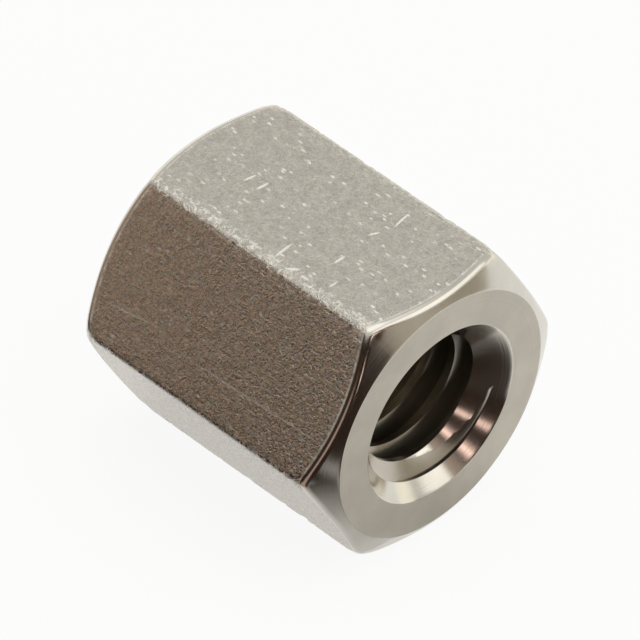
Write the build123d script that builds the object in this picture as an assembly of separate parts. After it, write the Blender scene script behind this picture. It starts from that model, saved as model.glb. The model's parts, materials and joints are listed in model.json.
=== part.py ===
from build123d import *

import os
from math import cos, radians, tan

# Hexagonal spacer stud, one solid piece of plated metal.
# A short length of drawn hexagon bar is faced and chamfered at both ends, and a countersunk bore,
# drilled for a tapped thread, runs right through it for a screw at either end.
# Millimetres. The bore runs along X and the stud lies on one of its flats. The origin is on that
# flat, below the middle of the stud.

# Hexagon bar
across_flats = 7.0
length = 8.0
corner_radius = 0.22

# End faces: a flat ring, with a chamfer cone round it that trims the hexagon's corners
end_face_diameter = 6.5
chamfer_angle = 30.0

# Through-bore, at the crests of an M4 x 0.7 thread, and the countersink at each mouth
bore_diameter = 3.3
countersink_diameter = 4.7
countersink_angle = 90.0

# How far cutting shapes reach past what they cut
overrun = 0.5

# Worked out from the sizes above
flat_count = 6
half_length = length / 2
axis_height = across_flats / 2
corner_distance = across_flats / 2 / cos(radians(180 / flat_count))
end_face_radius = end_face_diameter / 2
bore_radius = bore_diameter / 2
countersink_radius = countersink_diameter / 2
countersink_slope = tan(radians(countersink_angle / 2))
countersink_depth = (countersink_radius - bore_radius) / countersink_slope


def turned(*points):
    """Solid of revolution about X from an outline of (distance along X, radius) points."""
    outline = Polyline(*points, close=True)
    return revolve(make_face(outline), Axis.X)


def hexagon_bar():
    """Bar cut to length, with a flat facing down and the rounded corners that drawing leaves."""
    hexagon = RegularPolygon(axis_height, flat_count, major_radius=False)
    section = fillet(hexagon.vertices(), corner_radius)
    return extrude(Plane.YZ * section, half_length, both=True)


def chamfer_envelope():
    """What facing and chamfering leave room for: a drum with a cone and a flat face at each end."""
    drum_radius = corner_distance + overrun
    cone_length = (drum_radius - end_face_radius) * tan(radians(chamfer_angle))
    return turned(
        (-half_length, 0),
        (-half_length, end_face_radius),
        (-half_length + cone_length, drum_radius),
        (half_length - cone_length, drum_radius),
        (half_length, end_face_radius),
        (half_length, 0),
    )


def countersunk_bore():
    """The drilled hole, opening out to a countersink at both ends, with room past each end face."""
    bore_end = half_length - countersink_depth
    mouth_end = half_length + overrun
    mouth_radius = countersink_radius + overrun * countersink_slope
    return turned(
        (-mouth_end, 0),
        (-mouth_end, mouth_radius),
        (-bore_end, bore_radius),
        (bore_end, bore_radius),
        (mouth_end, mouth_radius),
        (mouth_end, 0),
    )


def spacer_stud():
    """The finished stud, lying on a flat."""
    blank = hexagon_bar() & chamfer_envelope()
    return Pos(0, 0, axis_height) * (blank - countersunk_bore())


os.makedirs("parts", exist_ok=True)
export_step(spacer_stud(), "parts/spacer_stud.step")
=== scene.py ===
import json
from math import atan2, cos, hypot, pi, radians, sin, tan, tau

import bmesh
import bpy
from bpy.props import FloatProperty, FloatVectorProperty, IntProperty, PointerProperty
from bpy.types import Operator, Panel, PropertyGroup
from mathutils import Matrix, Vector, noise


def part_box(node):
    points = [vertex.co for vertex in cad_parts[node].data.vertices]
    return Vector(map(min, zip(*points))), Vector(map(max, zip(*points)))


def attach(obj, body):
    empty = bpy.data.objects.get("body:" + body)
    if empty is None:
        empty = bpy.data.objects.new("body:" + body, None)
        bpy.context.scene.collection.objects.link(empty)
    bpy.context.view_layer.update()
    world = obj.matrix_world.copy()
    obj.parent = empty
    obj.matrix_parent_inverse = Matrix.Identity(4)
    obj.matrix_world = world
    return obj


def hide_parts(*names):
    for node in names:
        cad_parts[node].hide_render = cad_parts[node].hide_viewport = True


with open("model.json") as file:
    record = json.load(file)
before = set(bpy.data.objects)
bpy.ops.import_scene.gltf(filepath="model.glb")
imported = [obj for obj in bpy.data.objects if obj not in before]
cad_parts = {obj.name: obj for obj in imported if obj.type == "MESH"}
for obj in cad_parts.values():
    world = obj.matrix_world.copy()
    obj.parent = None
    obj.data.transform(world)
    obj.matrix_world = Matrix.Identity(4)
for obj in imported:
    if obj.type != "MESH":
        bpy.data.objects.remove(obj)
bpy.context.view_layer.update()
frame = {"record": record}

bl_info = {
    "name": "Spacer stud",
    "version": (1, 0, 0),
    "blender": (4, 5, 0),
    "location": "View3D > Sidebar > Spacer stud",
    "description": "A hexagonal spacer stud with drawn flats, turned ends and a tapped bore",
    "category": "Object",
}

# The solid that the stud stands for gives the sizes that the two share.
solid_low, solid_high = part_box("spacer_stud")
thread_mount = next(m for m in frame["record"]["mounts"] if m["kind"] == "threaded_hole")

MM = 0.001
FLATS = 6
HALF_FLAT = pi / FLATS

# How finely the mesh is divided: steps round a long corner and over the worn edges, and cuts across a
# flat, along half the length and down a cone
CORNER_STEPS, ARRIS_STEPS, RIM_STEPS = 8, 4, 3
FLAT_CUTS, LENGTH_CUTS, CONE_CUTS = 22, 47, 11

# Vertices nearer than this are joined: at mid-length, and after the thread is cut
SEAM_WELD = 1e-7
CUT_WELD = 2e-7

# Edges that turn by more than this stay sharp
CREASE = radians(28)

# How far round the axis from the middle of its flat a corner of a face is mapped, in radians
MAP_REACH = 1.2

# Noise cells in a metre along the bar and round it, and the level above which the noise makes a nick
NICKS_ALONG, NICKS_ROUND, NICK_LEVEL = 7000, 2500, 0.15

# The tap's tooth: flank angle, width of its tip in pitches, and how far it reaches inside the crests
THREAD_FLANK = radians(30)
TOOTH_TIP = 1 / 8
TOOTH_OVERLAP = 0.08 * MM

# Places in the stud's list of finishes
DRAWN, FACED, TURNED, TAPPED = range(4)


class StudSizes(PropertyGroup):
    """Sizes of the stud, in metres."""

    across_flats: FloatProperty(
        name="Across flats", description="Width of the hexagon bar from flat to flat",
        default=solid_high.z - solid_low.z, unit="LENGTH", precision=5)
    length: FloatProperty(
        name="Length", description="From end face to end face",
        default=solid_high.x - solid_low.x, unit="LENGTH", precision=5)
    corner_radius: FloatProperty(
        name="Corner radius", description="Rounding that drawing leaves on the bar's long corners",
        default=0.22 * MM, unit="LENGTH", precision=5)
    face_diameter: FloatProperty(
        name="End face", description="Diameter of the flat end face, inside the chamfer",
        default=6.5 * MM, unit="LENGTH", precision=5)
    chamfer_angle: FloatProperty(
        name="Chamfer", description="Angle of the chamfer cone to the end face",
        default=radians(30), subtype="ANGLE")
    bore_diameter: FloatProperty(
        name="Bore", description="Diameter over the crests of the thread",
        default=2 * MM * thread_mount["dims"]["r_mm"], unit="LENGTH", precision=5)
    sink_diameter: FloatProperty(
        name="Countersink", description="Diameter of the countersink's mouth",
        default=4.7 * MM, unit="LENGTH", precision=5)
    sink_angle: FloatProperty(
        name="Countersink angle", description="Included angle of the countersink",
        default=radians(90), subtype="ANGLE")
    thread_diameter: FloatProperty(
        name="Thread", description="Diameter over the roots of the thread",
        default=4.12 * MM, unit="LENGTH", precision=5)
    thread_pitch: FloatProperty(
        name="Pitch", description="Advance of the thread in one turn",
        default=0.7 * MM, unit="LENGTH", precision=5)
    thread_start: FloatProperty(
        name="Thread start",
        description="Depth of the first groove below the front face, at the underside",
        default=0.39 * MM, unit="LENGTH", precision=5)
    arris_break: FloatProperty(
        name="Chamfer arris", description="Worn edge between the flats and the chamfer",
        default=0.12 * MM, unit="LENGTH", precision=6)
    rim_break: FloatProperty(
        name="Face rims", description="Worn edges of the end face, at the chamfer and at the countersink",
        default=0.006 * MM, unit="LENGTH", precision=6)
    tip_wear: FloatProperty(
        name="Corner tips", description="Metal worn off where the chamfer meets a long corner",
        default=0.05 * MM, unit="LENGTH", precision=6)
    nick_depth: FloatProperty(
        name="Nicks", description="Depth of the nicks along the bar's long corners",
        default=0.03 * MM, unit="LENGTH", precision=6)
    turn_steps: IntProperty(
        name="Steps a turn", description="Steps in one turn of the thread", default=144)


class StudFinish(PropertyGroup):
    """Colours and gloss of the plating."""

    plating: FloatVectorProperty(
        name="Plating", description="Colour of clean nickel plate",
        default=(0.74, 0.705, 0.635), subtype="COLOR", min=0, max=1)
    cloud: FloatVectorProperty(
        name="Clouding", description="Duller patches on the drawn flats",
        default=(0.54, 0.515, 0.46), subtype="COLOR", min=0, max=1)
    thin: FloatVectorProperty(
        name="Thin plate", description="Specks of warmer metal where the plate is thin",
        default=(0.95, 0.74, 0.55), subtype="COLOR", min=0, max=1)
    # Also the colour of the painted highlight along the chamfer arris.
    bright: FloatVectorProperty(
        name="Scratches", description="Fresh scratches, pits and handling marks",
        default=(0.97, 0.955, 0.92), subtype="COLOR", min=0, max=1)
    faced: FloatVectorProperty(
        name="End faces", description="Satin plate on the faced ends",
        default=(0.62, 0.584, 0.518), subtype="COLOR", min=0, max=1)
    # Darker and browner than the plating, over the whole tapped bore.
    bore: FloatVectorProperty(
        name="Tapped bore", description="Plate inside the bore, darker and browner than the clean plate",
        default=(0.60, 0.555, 0.48), subtype="COLOR", min=0, max=1)


class StageSettings(PropertyGroup):
    """Floor, light and camera."""

    floor: FloatVectorProperty(
        name="Floor", description="Colour of the floor",
        default=(0.93, 0.93, 0.93), subtype="COLOR", min=0, max=1)
    lift: FloatProperty(
        name="Floor lift", description="Share of plain white in what shows of the floor",
        default=0.90, min=0, max=1)
    shown_lift: FloatProperty(
        name="Floor lift in metal", description="Share of plain white in the floor that the metal shows",
        default=0.6, min=0, max=1)
    card_side: FloatVectorProperty(
        name="Card, side", description="Colour of the dark card beside the stud",
        default=(0.435, 0.335, 0.28), subtype="COLOR", min=0, max=1)
    # Where the card lies on the floor at the foot of the end face, this colour is a painted shadow of the
    # stud.
    card_end_and_shadow: FloatVectorProperty(
        name="Card, end", description="Colour of the dark card before the stud's end",
        default=(0.030, 0.018, 0.013), subtype="COLOR", min=0, max=1)
    card_pale: FloatVectorProperty(
        name="Card, pale end", description="Colour of the low end of the card, past the stud's end",
        default=(0.50, 0.465, 0.38), subtype="COLOR", min=0, max=1)
    glint: FloatVectorProperty(
        name="Glints", description="Colour of the small lights that the countersink shows",
        default=(0.85, 0.62, 0.55), subtype="COLOR", min=0, max=1)
    walls: FloatVectorProperty(
        name="Walls", description="Colour of the room's near walls",
        default=(0.46, 0.425, 0.36), subtype="COLOR", min=0)
    backdrop: FloatVectorProperty(
        name="Far walls", description="Colour of the walls behind the stud",
        default=(1.15, 1.13, 1.0), subtype="COLOR", min=0)
    sky: FloatVectorProperty(
        name="Above", description="Colour above the walls",
        default=(0.645, 0.637, 0.61), subtype="COLOR", min=0)
    zenith: FloatVectorProperty(
        name="Overhead", description="Colour of the ceiling",
        default=(1.35, 1.34, 1.31), subtype="COLOR", min=0)
    key_power: FloatProperty(
        name="Key lamp", description="Power of the broad soft lamp",
        default=0.09, unit="POWER", min=0, precision=3)
    lens: FloatProperty(
        name="Lens", description="Focal length of the camera", default=554.57, unit="CAMERA")


def axis_height(sizes):
    return sizes.across_flats / 2


def axis_distance(vert):
    """How far a vertex is from the bore's axis, while that is still the X axis."""
    return hypot(vert.co.y, vert.co.z)


def grow_ring(bm, edges):
    """Extrudes a closed ring of edges and returns the new ring's vertices and edges."""
    grown = bmesh.ops.extrude_edge_only(bm, edges=edges)["geom"]
    verts = [g for g in grown if isinstance(g, bmesh.types.BMVert)]
    ring = set(verts)
    new_edges = [e for v in verts for e in v.link_edges if e.verts[0] in ring and e.verts[1] in ring]
    return verts, list(dict.fromkeys(new_edges))


def set_circle(verts, x, radius):
    """Puts a ring's vertices on a circle about the bore's axis, each at its own angle."""
    for v in verts:
        out = Vector((0, v.co.y, v.co.z)).normalized()
        v.co = out * radius
        v.co.x = x


def rounded_hexagon(bm, sizes):
    """The bar's outline at mid-length, with a flat on top, as a ring of edges."""
    corner = sizes.across_flats / 2 / cos(HALF_FLAT)
    turn = Matrix.Rotation(pi / 2, 4, "Y")
    bmesh.ops.create_circle(bm, cap_ends=True, radius=corner, segments=FLATS, matrix=turn)
    for v in bm.verts:
        around = atan2(v.co.z, v.co.y)
        if abs(round(around / (2 * HALF_FLAT)) * 2 * HALF_FLAT - around) > 0.1:
            raise RuntimeError("the hexagon has no flat on top")
    bmesh.ops.bevel(
        bm, geom=list(bm.verts), offset=sizes.corner_radius * tan(HALF_FLAT), offset_type="OFFSET",
        affect="VERTICES", segments=CORNER_STEPS, profile=0.5, material=-1)
    flats = [e for e in bm.edges if e.calc_length() > sizes.across_flats / 4]
    bmesh.ops.subdivide_edges(bm, edges=flats, cuts=FLAT_CUTS)
    bmesh.ops.delete(bm, geom=list(bm.faces), context="FACES_ONLY")
    return list(bm.edges)


def half_stud(bm, sizes):
    """The front half of the stud, from mid-length outside, round the end and back down the bore."""
    half = sizes.length / 2
    face = sizes.face_diameter / 2
    bore = sizes.bore_diameter / 2
    sink = sizes.sink_diameter / 2
    sink_depth = (sink - bore) / tan(sizes.sink_angle / 2)

    middle = rounded_hexagon(bm, sizes)
    verts, arris = grow_ring(bm, middle)
    for v in verts:
        v.co.x = half - (axis_distance(v) - face) * tan(sizes.chamfer_angle)
    flats = list(bm.faces)
    verts, outer_rim = grow_ring(bm, arris)
    set_circle(verts, half, face)
    verts, mouth = grow_ring(bm, outer_rim)
    set_circle(verts, half, sink)
    verts, sink_end = grow_ring(bm, mouth)
    set_circle(verts, half - sink_depth, bore)
    before = set(bm.faces)
    verts, bore_middle = grow_ring(bm, sink_end)
    set_circle(verts, 0, bore)
    bore_wall = [f for f in bm.faces if f not in before]

    for f in bm.faces:
        f.material_index = TURNED
    for f in flats:
        f.material_index = DRAWN
    for f in bore_wall:
        f.material_index = TAPPED
    on_face = [f for f in bm.faces if all(abs(v.co.x - half) < 1e-9 for v in f.verts)]
    for f in on_face:
        f.material_index = FACED

    for edges, width, segments in (
            (arris, sizes.arris_break, ARRIS_STEPS),
            (outer_rim, sizes.rim_break, RIM_STEPS),
            (mouth, sizes.rim_break, RIM_STEPS)):
        made = bmesh.ops.bevel(
            bm, geom=edges, offset=width, offset_type="OFFSET", affect="EDGES",
            segments=segments, profile=0.5, material=-1)
        for f in made["faces"]:
            f.material_index = TURNED
    long_edges = [
        e for e in bm.edges
        if abs(e.verts[0].co.x - e.verts[1].co.x) > half / 2 and axis_distance(e.verts[0]) > face]
    bmesh.ops.subdivide_edges(bm, edges=long_edges, cuts=LENGTH_CUTS, use_grid_fill=True)
    sloping = [
        e for e in bm.edges
        if abs(axis_distance(e.verts[0]) - axis_distance(e.verts[1])) > sizes.arris_break]
    bmesh.ops.subdivide_edges(bm, edges=sloping, cuts=CONE_CUTS, use_grid_fill=True)


def wear_corners(bm, sizes):
    """Rounds off the tips of the long corners at both ends, and dents the corners at random."""
    corner = sizes.across_flats / 2 / cos(HALF_FLAT)
    start = corner - 0.3 * sizes.corner_radius
    tip_x = sizes.length / 2 - (corner - sizes.face_diameter / 2) * tan(sizes.chamfer_angle)
    spread = 8 * sizes.tip_wear
    for v in bm.verts:
        reach = axis_distance(v)
        if reach < sizes.face_diameter / 2 + sizes.rim_break:
            continue
        inwards = Vector((0, -v.co.y, -v.co.z)) / reach
        around = atan2(v.co.z, v.co.y) / (2 * HALF_FLAT)
        aside = (around - round(around)) * 2 * HALF_FLAT * reach
        away = Vector((abs(v.co.x) - tip_x, aside, corner - reach)).length / spread
        if away < 1:
            v.co += inwards * sizes.tip_wear * (1 - away * away) ** 2
        if reach > start:
            knock = noise.noise(Vector((v.co.x * NICKS_ALONG, v.co.y * NICKS_ROUND, v.co.z * NICKS_ROUND)))
            v.co += inwards * min(2 * max(0, knock - NICK_LEVEL), 1) * sizes.nick_depth


def stud_body(sizes):
    """The whole stud with a plain bore, about the X axis."""
    bm = bmesh.new()
    half_stud(bm, sizes)
    everything = bm.verts[:] + bm.edges[:] + bm.faces[:]
    bmesh.ops.mirror(bm, geom=everything, matrix=Matrix(), merge_dist=SEAM_WELD, axis="X")
    bmesh.ops.remove_doubles(bm, verts=bm.verts, dist=SEAM_WELD)
    wear_corners(bm, sizes)
    bmesh.ops.recalc_face_normals(bm, faces=bm.faces)
    return bm


def thread_groove(sizes):
    """What the tap cuts away: one tooth of its form, carried round the axis and along it."""
    bm = bmesh.new()
    pitch = sizes.thread_pitch
    root = sizes.thread_diameter / 2
    inner = sizes.bore_diameter / 2 - TOOTH_OVERLAP
    root_half = pitch * TOOTH_TIP / 2
    foot_half = root_half + (root - inner) * tan(THREAD_FLANK)
    section = [
        bm.verts.new((x, 0, -radius))
        for x, radius in ((-foot_half, inner), (-root_half, root), (root_half, root), (foot_half, inner))]
    tooth = bm.faces.new(section)
    turns = int(sizes.length / pitch) + 3
    start = sizes.length / 2 - sizes.thread_start - (turns - 1) * pitch
    bmesh.ops.translate(bm, verts=section, vec=(start, 0, 0))
    bmesh.ops.spin(
        bm, geom=[tooth], cent=(0, 0, 0), axis=(1, 0, 0), dvec=(pitch / sizes.turn_steps, 0, 0),
        angle=tau * turns, steps=sizes.turn_steps * turns, use_merge=False)
    for f in bm.faces:
        f.material_index = TAPPED
    bmesh.ops.recalc_face_normals(bm, faces=bm.faces)
    return bm


def as_object(bm, name):
    """Moves a mesh into a new object in the scene."""
    mesh = bpy.data.meshes.new(name)
    bm.to_mesh(mesh)
    bm.free()
    made = bpy.data.objects.new(name, mesh)
    bpy.context.scene.collection.objects.link(made)
    return made


def cut_away(body, tool):
    """Takes the tool's shape out of the body and removes the tool."""
    cut = body.modifiers.new("cut", "BOOLEAN")
    cut.operation = "DIFFERENCE"
    cut.solver = "EXACT"
    cut.object = tool
    bpy.context.view_layer.update()
    finished = bpy.data.meshes.new_from_object(body.evaluated_get(bpy.context.evaluated_depsgraph_get()))
    old = body.data
    body.modifiers.clear()
    body.data = finished
    finished.name = body.name
    bpy.data.meshes.remove(old)
    spent = tool.data
    bpy.data.objects.remove(tool)
    bpy.data.meshes.remove(spent)


def finish_mesh(body, sizes):
    """Cleans the cut mesh, lays a flat map over the bar's six sides, and sets it on the floor."""
    bm = bmesh.new()
    bm.from_mesh(body.data)
    bmesh.ops.remove_doubles(bm, verts=bm.verts, dist=CUT_WELD)
    bmesh.ops.dissolve_degenerate(bm, edges=bm.edges, dist=CUT_WELD)
    bmesh.ops.recalc_face_normals(bm, faces=bm.faces)
    loose = [e for e in bm.edges if len(e.link_faces) != 2]
    if loose:
        raise RuntimeError(f"the stud has {len(loose)} open edges")
    surface = bm.loops.layers.uv.new("surface")
    side = sizes.across_flats * tan(HALF_FLAT)
    for f in bm.faces:
        f.smooth = True
        middle = f.calc_center_median()
        flat = round(atan2(middle.y, middle.z) / (2 * HALF_FLAT))
        for loop in f.loops:
            co = loop.vert.co
            past = atan2(co.y, co.z) - flat * 2 * HALF_FLAT
            past = (past + pi) % tau - pi
            past = max(-MAP_REACH, min(MAP_REACH, past))
            loop[surface].uv = (co.x / MM, (flat * side + sizes.across_flats / 2 * tan(past)) / MM)
    for e in bm.edges:
        e.smooth = e.calc_face_angle(0) < CREASE
    bmesh.ops.translate(bm, verts=bm.verts, vec=(0, 0, axis_height(sizes)))
    for v in bm.verts:
        # rounding in the cut leaves some a hair outside the solid
        v.co.z = min(max(v.co.z, solid_low.z), solid_high.z)
    bm.to_mesh(body.data)
    bm.free()


class Nodes:
    """Adds nodes to a material or a world and joins them."""

    def __init__(self, owner):
        owner.use_nodes = True
        self.owner = owner
        self.tree = owner.node_tree
        self.shader = self.tree.nodes.get("Principled BSDF")

    def add(self, kind, settings=None, **inputs):
        made = self.tree.nodes.new("ShaderNode" + kind)
        for key, value in (settings or {}).items():
            setattr(made, key, value)
        for key, value in inputs.items():
            self.give(made.inputs[key.replace("_", " ")], value)
        return made

    def give(self, socket, value):
        if isinstance(value, bpy.types.NodeSocket):
            self.tree.links.new(value, socket)
        else:
            socket.default_value = value

    def maths(self, operation, *values):
        made = self.tree.nodes.new("ShaderNodeMath")
        made.operation = operation
        for socket, value in zip(made.inputs, values):
            self.give(socket, value)
        return made.outputs[0]

    def all_of(self, first, *others):
        """The values multiplied together."""
        for other in others:
            first = self.maths("MULTIPLY", first, other)
        return first

    def any_of(self, first, *others):
        """The largest of the values."""
        for other in others:
            first = self.maths("MAXIMUM", first, other)
        return first

    def span(self, value, low, high, to_low=0.0, to_high=1.0):
        made = self.tree.nodes.new("ShaderNodeMapRange")
        for socket, given in zip(made.inputs, (value, low, high, to_low, to_high)):
            self.give(socket, given)
        return made.outputs[0]

    def mix(self, share, first, second):
        made = self.tree.nodes.new("ShaderNodeMix")
        made.data_type = "RGBA"
        self.give(made.inputs[0], share)
        self.give(made.inputs[6], first)
        self.give(made.inputs[7], second)
        return made.outputs[2]

    def placed(self, coords, location=(0, 0, 0), turn=0.0, scale=(1, 1, 1), kind="POINT"):
        made = self.tree.nodes.new("ShaderNodeMapping")
        made.vector_type = kind
        self.give(made.inputs["Vector"], coords)
        made.inputs["Location"].default_value = location
        made.inputs["Rotation"].default_value = (0, 0, turn)
        made.inputs["Scale"].default_value = scale
        return made.outputs[0]

    def from_axis(self, sizes):
        """Millimetres from the middle of the stud, the same by axis, and distance from the bore's axis."""
        place = self.add("TexCoord").outputs["Object"]
        local = self.placed(place, (0, 0, -axis_height(sizes) / MM), scale=(1 / MM, 1 / MM, 1 / MM))
        axes = self.add("SeparateXYZ", None, Vector=local).outputs
        across = self.add("CombineXYZ", None, Y=axes["Y"], Z=axes["Z"])
        radius = self.add("VectorMath", {"operation": "LENGTH"})
        self.give(radius.inputs[0], across.outputs[0])
        return local, axes, radius.outputs["Value"]

    def grain(self, coords, scale, detail=2.0, dimensions="2D", twist=0.0):
        made = self.add(
            "TexNoise", {"noise_dimensions": dimensions},
            Vector=coords, Scale=scale, Detail=detail, Distortion=twist)
        return made.outputs[0]

    def dashes(self, coords, turn, scale, size, share):
        """Short strokes scattered over the surface, a share of the cells having one each."""
        stretched = self.placed(coords, turn=turn, scale=scale)
        cells = self.add("TexVoronoi", {"voronoi_dimensions": "2D"}, Vector=stretched, Scale=1.0)
        chosen = self.add("SeparateColor", None, Color=cells.outputs["Color"])
        near = self.span(cells.outputs["Distance"], size, size * 0.4)
        present = self.maths("LESS_THAN", chosen.outputs[0], share)
        strength = self.span(chosen.outputs[1], 0.0, 1.0, 0.4, 1.0)
        return self.all_of(near, present, strength)

    def ragged(self, coords, scale, reach):
        """The same coordinates shaken a little, so that what is drawn on them has ragged edges."""
        shake = self.add("TexNoise", {"noise_dimensions": "2D"}, Vector=coords, Scale=scale, Detail=2.0)
        moved = self.add("VectorMath", {"operation": "MULTIPLY_ADD"})
        self.give(moved.inputs[0], shake.outputs["Color"])
        self.give(moved.inputs[1], (reach, reach, 0))
        self.give(moved.inputs[2], coords)
        return moved.outputs[0]


def rgb(colour):
    return (*colour, 1.0)


# Strokes that patterns scatter over the flats: slant in radians, cells in a millimetre along it and
# across, size of the stroke within its cell, and the share of cells that have one.
HAIRLINES = (1.35, (1.7, 14.0, 1), 0.30, 0.012)
RAGGED_MARKS = (
    (2.35, (2.1, 15.0, 1), 0.28, 0.008),
    (0.9, (2.1, 3.3, 1), 0.16, 0.30),
    (1.8, (3.6, 4.8, 1), 0.17, 0.22),
)
PITS = (
    (1.45, (2.6, 5.2, 1), 0.22, 0.10),
    (0.6, (3.4, 6.0, 1), 0.22, 0.08),
    (2.2, (2.4, 6.5, 1), 0.22, 0.05),
)

# The longest scratches on the top flat, and two faint ones on the near side flat: place along the bar
# and round it, length and width in millimetres, slant in degrees, and how bright each one is.
LONG_SCRATCHES = (
    (-2.0, -0.3, 0.4, 0.07, 80, 1.0), (-1.6, -0.3, 0.4, 0.09, 85, 1.0), (0.3, -1.5, 0.7, 0.08, 95, 1.0),
    (0.9, -1.8, 0.4, 0.10, 40, 1.0), (1.3, -1.8, 0.3, 0.09, 0, 0.9), (1.4, -0.8, 0.4, 0.08, 90, 1.0),
    (1.3, 0.4, 0.3, 0.07, 65, 1.0), (1.4, 1.2, 0.7, 0.07, 100, 1.0), (1.9, -1.5, 0.3, 0.07, 90, 0.9),
    (-2.7, -5.0, 1.7, 0.06, 8, 0.22), (1.5, -5.0, 4.6, 0.06, 2, 0.22),
)


def handling_marks(n, map_mm):
    """Hairlines and small ragged marks, stronger in some patches than in others."""
    ragged_map = n.ragged(map_mm, 9.0, 0.10)
    marks = n.any_of(n.dashes(map_mm, *HAIRLINES), *(n.dashes(ragged_map, *row) for row in RAGGED_MARKS))
    patches = n.span(n.grain(map_mm, 0.9, 2.0), 0.38, 0.6, 0.05, 0.35)
    return n.all_of(marks, patches)


def worn_long_corners(n, map_mm, across, sizes):
    """Broken bright bands along the bar's long corners, strongest on the near upper one."""
    side = sizes.across_flats * tan(HALF_FLAT) / MM
    inset = n.maths("PINGPONG", n.maths("ADD", across, side / 2), side / 2)
    near = n.all_of(n.span(across, -4.5, -3.5), n.span(across, 0.5, -0.5))
    return n.all_of(
        n.span(inset, 0.34, 0.10), n.span(n.grain(map_mm, 9.0, 4.0), 0.53, 0.62),
        n.span(near, 0.0, 1.0, 0.25, 1.0))


def arris_painted_highlight(n, map_mm, along, radius, sizes):
    """A thin uneven pale line where the flats end at the chamfer: a painted highlight standing in for the
    light that the worn arris catches.
    """
    slope = tan(sizes.chamfer_angle)
    arris = n.maths("MULTIPLY_ADD", radius, -slope, (sizes.length + sizes.face_diameter * slope) / 2 / MM)
    to_arris = n.maths("SUBTRACT", arris, n.maths("ABSOLUTE", along))
    uneven = n.span(n.grain(map_mm, 5.0, 3.0), 0.35, 0.6, 0.15, 0.5)
    return n.all_of(n.span(to_arris, 0.19, 0.14), uneven)


def long_scratch(n, map_mm, x, y, length, width, slant, strength):
    """One scratch, brightest along its middle."""
    local = n.placed(map_mm, (x, y, 0), radians(slant), (length / 2, width / 2, 1), "TEXTURE")
    stroke = n.add("TexGradient", {"gradient_type": "SPHERICAL"}, Vector=local).outputs[1]
    return n.span(stroke, 0.0, 0.4, 0.0, strength)


def drawn_nickel(finish, sizes):
    """Plated bar as drawn: fine-grained satin, worn corners, draw lines along it, pits and scratches."""
    n = Nodes(bpy.data.materials.new("nickel_drawn"))
    map_mm = n.add("UVMap", {"uv_map": "surface"}).outputs[0]
    # millimetres round the bar from the middle of the top flat
    across = n.add("SeparateXYZ", None, Vector=map_mm).outputs["Y"]
    top = n.span(n.maths("ABSOLUTE", across), 1.95, 2.15, 1.0, 0.0)
    axes, radius = n.from_axis(sizes)[1:]

    def by_flat(elsewhere, on_top):
        return n.span(top, 0.0, 1.0, elsewhere, on_top)

    # The marks are real scratches, pits and worn corners, together with a painted highlight along the
    # chamfer arris, all lightened with the scratch colour.
    marks = n.any_of(
        handling_marks(n, map_mm),
        n.all_of(worn_long_corners(n, map_mm, across, sizes), by_flat(0.2, 1.0)),
        *(n.all_of(n.dashes(map_mm, *row), by_flat(0.15, 1.0)) for row in PITS),
        arris_painted_highlight(n, map_mm, axes["X"], radius, sizes),
        *(long_scratch(n, map_mm, *row) for row in LONG_SCRATCHES))

    # The side flats are coarser than the top, and more so towards the front.
    grain = n.grain(map_mm, 12.0, 1.5, twist=1.0)
    coarse = by_flat(n.span(axes["X"], -3.5, 3.5, 0.7, 1.35), 0.4)
    clouds = n.span(n.grain(map_mm, 3.2, 6.0), 0.34, 0.66)
    speck = n.all_of(n.span(grain, 0.3, 0.7, -0.9, 0.9), coarse)
    clean = n.maths("MULTIPLY_ADD", clouds, 0.4, n.maths("ADD", speck, 0.3))
    tone = n.mix(clean, rgb(finish.cloud), rgb(finish.plating))
    stain = n.add("TexNoise", {"noise_dimensions": "2D"}, Vector=map_mm, Scale=4.0, Detail=4.0)
    tone = n.mix(by_flat(0.11, 0.03), tone, stain.outputs["Color"])
    thin = n.all_of(n.span(n.grain(map_mm, 9.0, 2.0), 0.61, 0.69), by_flat(0.65, 0.1))
    tone = n.mix(thin, tone, rgb(finish.thin))
    n.give(n.shader.inputs["Base Color"], n.mix(n.all_of(marks, 0.9), tone, rgb(finish.bright)))

    n.give(n.shader.inputs["Metallic"], n.span(marks, 0.0, 1.0, 1.0, 0.3))
    dull = n.span(grain, 0.3, 0.7, 0.22, 0.30)
    n.give(n.shader.inputs["Roughness"], n.maths("MULTIPLY_ADD", marks, 0.55, dull))
    draw_lines = n.grain(n.placed(map_mm, scale=(0.22, 9.0, 1)), 1.6, 4.0)
    height = n.maths("MULTIPLY_ADD", draw_lines, 0.4, n.all_of(grain, coarse))
    height = n.maths("MULTIPLY_ADD", marks, -0.5, height)
    bump = n.add("Bump", None, Strength=1.0, Distance=18.0e-6, Height=height)
    n.give(n.shader.inputs["Normal"], bump.outputs[0])
    return n.owner


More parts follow.
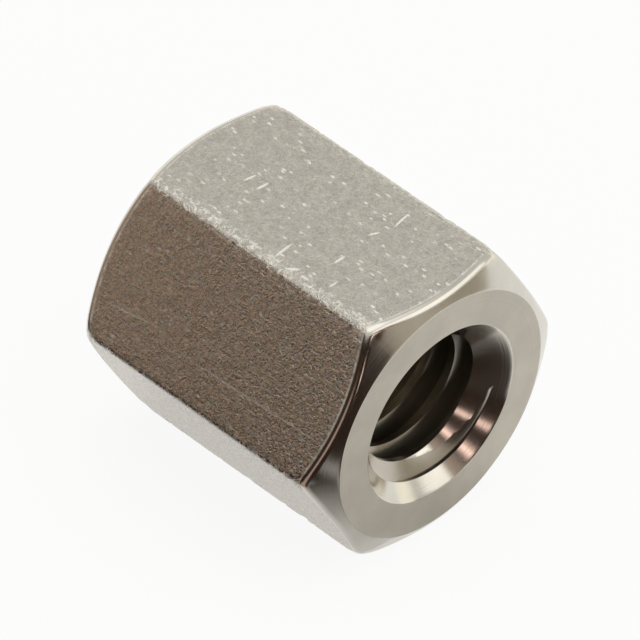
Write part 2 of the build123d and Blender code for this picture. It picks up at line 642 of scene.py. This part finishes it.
def turned_nickel(name, colour, sizes, roughness, feed, depth, chatter=0.0, metal=1.0):
    """Plated metal cut on a lathe: fine rings round the bore's axis, and a countersink's chatter.

    The tool's feed is in millimetres, and the depth of its rings and of the chatter in metres.
    """
    n = Nodes(bpy.data.materials.new(name))
    local, axes, radius = n.from_axis(sizes)
    path = n.maths("MULTIPLY_ADD", axes["X"], 0.6, radius)
    rings = n.add("TexNoise", {"noise_dimensions": "1D"}, W=path, Scale=1.0 / feed, Detail=3.0).outputs[0]
    stains = n.grain(local, 1.1, 3.0, "3D")
    fine = n.grain(local, 30.0, 2.0, "3D")
    shade = tuple(c * 0.9 for c in colour)
    n.give(n.shader.inputs["Base Color"], n.mix(n.span(stains, 0.35, 0.65), rgb(shade), rgb(colour)))
    n.shader.inputs["Metallic"].default_value = metal
    n.give(n.shader.inputs["Roughness"], n.span(rings, 0.3, 0.7, roughness * 0.9, roughness * 1.1))
    height = n.maths("MULTIPLY_ADD", fine, 0.35, rings)
    if chatter:
        angle = n.maths("ARCTAN2", axes["Y"], axes["Z"])
        waves = n.add("TexNoise", {"noise_dimensions": "1D"}, W=angle, Scale=3.5, Detail=0.0).outputs[0]
        sunk = n.maths("LESS_THAN", radius, sizes.sink_diameter / 2 / MM)
        height = n.maths("MULTIPLY_ADD", n.all_of(waves, sunk), chatter / depth, height)
    bump = n.add("Bump", None, Strength=1.0, Distance=depth, Height=height)
    n.give(n.shader.inputs["Normal"], bump.outputs[0])
    return n.owner


class STUD_OT_make_stud(Operator):
    """Make the stud: hexagon bar with turned ends and a thread tapped right through"""

    bl_idname = "spacer.make_stud"
    bl_label = "Make the stud"

    def execute(self, context):
        sizes = context.scene.stud_sizes
        finish = context.scene.stud_finish
        finishes = (
            drawn_nickel(finish, sizes),
            turned_nickel(
                "nickel_faced", tuple(finish.faced), sizes,
                roughness=0.65, feed=0.06, depth=0.2e-6, metal=0.4),
            turned_nickel(
                "nickel_turned", tuple(finish.plating), sizes,
                roughness=0.17, feed=0.05, depth=0.6e-6, chatter=10e-6),
            turned_nickel(
                "nickel_tapped", tuple(finish.bore), sizes, roughness=0.20, feed=0.05, depth=0.6e-6))
        stud = as_object(stud_body(sizes), "stud")
        groove = as_object(thread_groove(sizes), "groove")
        for made in finishes:
            stud.data.materials.append(made)
            groove.data.materials.append(made)
        cut_away(stud, groove)
        finish_mesh(stud, sizes)
        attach(stud, "root")
        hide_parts("spacer_stud")
        return {"FINISHED"}


def stage_object(bm, name, material):
    made = as_object(bm, name)
    made.data.materials.append(material)
    return made


def make_floor(stage):
    """A pale floor. Part of what shows of it is plain white, so the stud's shadow on it is light."""
    bm = bmesh.new()
    bmesh.ops.create_grid(bm, x_segments=8, y_segments=8, size=1.5)
    n = Nodes(bpy.data.materials.new("floor"))
    n.shader.inputs["Base Color"].default_value = rgb(stage.floor)
    n.shader.inputs["Roughness"].default_value = 0.9
    n.shader.inputs["Specular IOR Level"].default_value = 0.1
    path = n.add("LightPath").outputs
    seen = n.all_of(n.any_of(path["Is Camera Ray"], path["Is Transmission Ray"]), stage.lift)
    shown = n.all_of(path["Is Glossy Ray"], stage.shown_lift)
    white = n.add("Emission", None, Color=(1, 1, 1, 1), Strength=1.0)
    both = n.add("MixShader")
    n.give(both.inputs[0], n.any_of(seen, shown))
    n.give(both.inputs[1], n.shader.outputs[0])
    n.give(both.inputs[2], white.outputs[0])
    n.give(n.tree.nodes["Material Output"].inputs["Surface"], both.outputs[0])
    stage_object(bm, "floor", n.owner)


# The dark card, in millimetres: its outline from the foot of the stud outwards and up, and the turn
# about the upright that carries it round the near side.
CARD_OUTLINE = ((4.1, 0.05), (58.0, 0.05), (62.0, 54.0))
CARD_START = radians(-165)
CARD_TURN = radians(218)

# Small lights on the card that the countersink shows: place and reach in millimetres
GLINTS = (((53.3, -26.3, 14.6), 4.5), ((59.6, -8.1, 35.3), 7.5))


def card_cover(n, x, y, z, past_end):
    """How much of the card there is at each place: whole, faded or none."""
    # On the floor it is whole in a strip slanting away from the foot of the end face, and fades out on
    # the near side of that strip towards the stud: a painted shadow of the stud, seen only in the metal.
    slant = n.maths("MULTIPLY_ADD", x, 0.75, y)
    painted_shadow_band = n.all_of(n.span(slant, 5.7, 5.0), n.span(slant, 1.4, 2.6), n.span(x, 4.0, 5.4, 0.8, 1.0))
    faded = n.all_of(n.span(slant, 2.6, 1.4), n.span(x, 2.5, 7.6))
    # Beside the near side, and on the floor past the end on that side, it is painted shade on the floor
    # that the metal shows.
    beside = n.any_of(n.span(y, -5.0, -6.4), n.all_of(n.span(x, 9, 12), n.span(y, 0.6, -0.4)))
    # Where it is bent up it is whole on the near side, high up past the end, and low beyond that.
    high = n.all_of(n.span(z, 21, 27), n.span(y, 22, 16))
    low = n.all_of(past_end, n.span(z, 20, 14))
    raised = n.all_of(n.span(z, 0.1, 0.3), n.any_of(high, low, n.span(y, 11, 2.5)))
    return n.any_of(painted_shadow_band, faded, beside, raised)


def card_glints(n, place, bearing, z):
    """Strength of the small lights on the card, and of a low streak on its near side."""
    spots = []
    for centre, reach in GLINTS:
        away = n.add("VectorMath", {"operation": "DISTANCE"})
        n.give(away.inputs[0], place)
        away.inputs[1].default_value = centre
        spots.append(n.span(away.outputs["Value"], reach, 0.6 * reach, 0.0, 2.3))
    streak = n.all_of(
        n.span(bearing, radians(-74), radians(-70)),
        n.span(bearing, radians(-54), radians(-58), 0.0, 0.5),
        n.span(z, 22, 17))
    return n.any_of(streak, *spots)


def make_dark_card(stage):
    """A dark card round the near side, bent up at its far edge, that only the metal shows. Where it lies
    on the floor near the stud it is painted shadow and shade on the floor.
    """
    bm = bmesh.new()
    turn = Matrix.Rotation(CARD_START, 3, "Z")
    verts = [bm.verts.new(turn @ Vector((r * MM, 0, z * MM))) for r, z in CARD_OUTLINE]
    edges = [bm.edges.new(pair) for pair in zip(verts, verts[1:])]
    bmesh.ops.spin(
        bm, geom=edges, cent=(0, 0, 0), axis=(0, 0, 1), angle=CARD_TURN, steps=68, use_merge=False)
    n = Nodes(bpy.data.materials.new("dark_card"))
    place = n.placed(n.add("TexCoord").outputs["Object"], scale=(1 / MM, 1 / MM, 1 / MM))
    axes = n.add("SeparateXYZ", None, Vector=place).outputs
    x, y, z = axes["X"], axes["Y"], axes["Z"]
    bearing = n.maths("ARCTAN2", y, x)
    past_end = n.span(bearing, radians(24), radians(32))
    # Before the stud's end the card takes the darkest colour, which on the floor there is a painted shadow
    # of the stud.
    tone = n.mix(n.span(x, -39, -4), rgb(stage.card_side), rgb(stage.card_end_and_shadow))
    tone = n.mix(n.span(y, 2.5, 6), tone, rgb(stage.card_side))
    n.give(n.shader.inputs["Base Color"], n.mix(past_end, tone, rgb(stage.card_pale)))
    n.shader.inputs["Roughness"].default_value = 0.9
    n.shader.inputs["Specular IOR Level"].default_value = 0.0
    n.give(n.shader.inputs["Alpha"], card_cover(n, x, y, z, past_end))
    n.shader.inputs["Emission Color"].default_value = rgb(stage.glint)
    n.give(n.shader.inputs["Emission Strength"], card_glints(n, place, bearing, z))
    card = stage_object(bm, "dark_card", n.owner)
    card.visible_camera = False
    card.visible_diffuse = False
    card.visible_shadow = False


# The far side of the room, as a bearing from the stud
FAR_SIDE = radians(110)


def make_sky(stage):
    """A pale room: walls that are white on the far side, sky above them and a bright ceiling."""
    n = Nodes(bpy.data.worlds.new("room"))
    bpy.context.scene.world = n.owner
    towards = n.add("TexCoord").outputs["Generated"]
    height = n.add("SeparateXYZ", None, Vector=towards).outputs["Z"]
    far_side = n.add("VectorMath", {"operation": "DOT_PRODUCT"})
    n.give(far_side.inputs[0], towards)
    far_side.inputs[1].default_value = (cos(FAR_SIDE), sin(FAR_SIDE), 0)
    far = n.span(far_side.outputs["Value"], 0.38, 0.54)
    room = n.mix(far, rgb(stage.walls), rgb(stage.backdrop))
    room = n.mix(n.span(height, 0.20, 0.32), room, rgb(stage.sky))
    room = n.mix(n.span(height, 0.84, 0.94), room, rgb(stage.zenith))
    n.give(n.tree.nodes["Background"].inputs["Color"], room)


# The key lamp: place, size and colour
KEY_PLACE = Vector((0.160, 0.085, 0.161))
KEY_SIZE = (0.30, 0.138)
KEY_COLOUR = (1.0, 0.985, 0.93)


def make_key(stage, target):
    """A broad soft lamp, facing the middle of the stud."""
    lamp = bpy.data.lights.new("key", "AREA")
    lamp.shape = "RECTANGLE"
    lamp.size, lamp.size_y = KEY_SIZE
    lamp.energy = stage.key_power
    lamp.color = KEY_COLOUR
    made = bpy.data.objects.new("key", lamp)
    bpy.context.scene.collection.objects.link(made)
    made.location = KEY_PLACE
    made.rotation_mode = "QUATERNION"
    made.rotation_quaternion = (target - KEY_PLACE).to_track_quat("-Z", "Y")
    made.visible_camera = False


# The camera's place, and which way its right side, its top and its back point
CAMERA_PLACE = (0.117266, -0.121159, 0.154635)
CAMERA_AXES = (
    (0.702994, 0.710765, 0.024749),
    (-0.487185, 0.455922, 0.744840),
    (0.518123, -0.535675, 0.666784),
)


def make_camera(stage):
    lens = bpy.data.cameras.new("camera")
    lens.lens = stage.lens
    lens.sensor_width = 36.0
    lens.clip_start, lens.clip_end = 0.01, 10.0
    made = bpy.data.objects.new("camera", lens)
    made.matrix_world = Matrix.Translation(CAMERA_PLACE) @ Matrix(CAMERA_AXES).transposed().to_4x4()
    bpy.context.scene.collection.objects.link(made)
    bpy.context.scene.camera = made


class STUD_OT_set_stage(Operator):
    """Lay the floor, light the stud and place the camera"""

    bl_idname = "spacer.set_stage"
    bl_label = "Set the stage"

    def execute(self, context):
        stage = context.scene.stud_stage
        make_floor(stage)
        make_dark_card(stage)
        make_sky(stage)
        make_key(stage, Vector((0, 0, axis_height(context.scene.stud_sizes))))
        make_camera(stage)
        context.scene.view_settings.view_transform = "Standard"
        return {"FINISHED"}


class STUD_PT_panel(Panel):
    """Sizes, finishes and stage of the spacer stud"""

    bl_idname = "STUD_PT_panel"
    bl_label = "Spacer stud"
    bl_space_type = "VIEW_3D"
    bl_region_type = "UI"
    bl_category = "Spacer stud"

    def draw(self, context):
        layout = self.layout
        scene = context.scene
        groups = {"Stud": scene.stud_sizes, "Finish": scene.stud_finish, "Stage": scene.stud_stage}
        for title, group in groups.items():
            box = layout.box()
            box.label(text=title)
            for key in group.__annotations__:
                box.prop(group, key)
        layout.operator(STUD_OT_make_stud.bl_idname)
        layout.operator(STUD_OT_set_stage.bl_idname)


CLASSES = (StudSizes, StudFinish, StageSettings, STUD_OT_make_stud, STUD_OT_set_stage, STUD_PT_panel)


def register():
    for c in CLASSES:
        bpy.utils.register_class(c)
    bpy.types.Scene.stud_sizes = PointerProperty(type=StudSizes)
    bpy.types.Scene.stud_finish = PointerProperty(type=StudFinish)
    bpy.types.Scene.stud_stage = PointerProperty(type=StageSettings)


def unregister():
    del bpy.types.Scene.stud_sizes
    del bpy.types.Scene.stud_finish
    del bpy.types.Scene.stud_stage
    for c in reversed(CLASSES):
        bpy.utils.unregister_class(c)


def main():
    register()
    bpy.ops.spacer.make_stud()
    bpy.ops.spacer.set_stage()


if __name__ == "__main__":
    main()
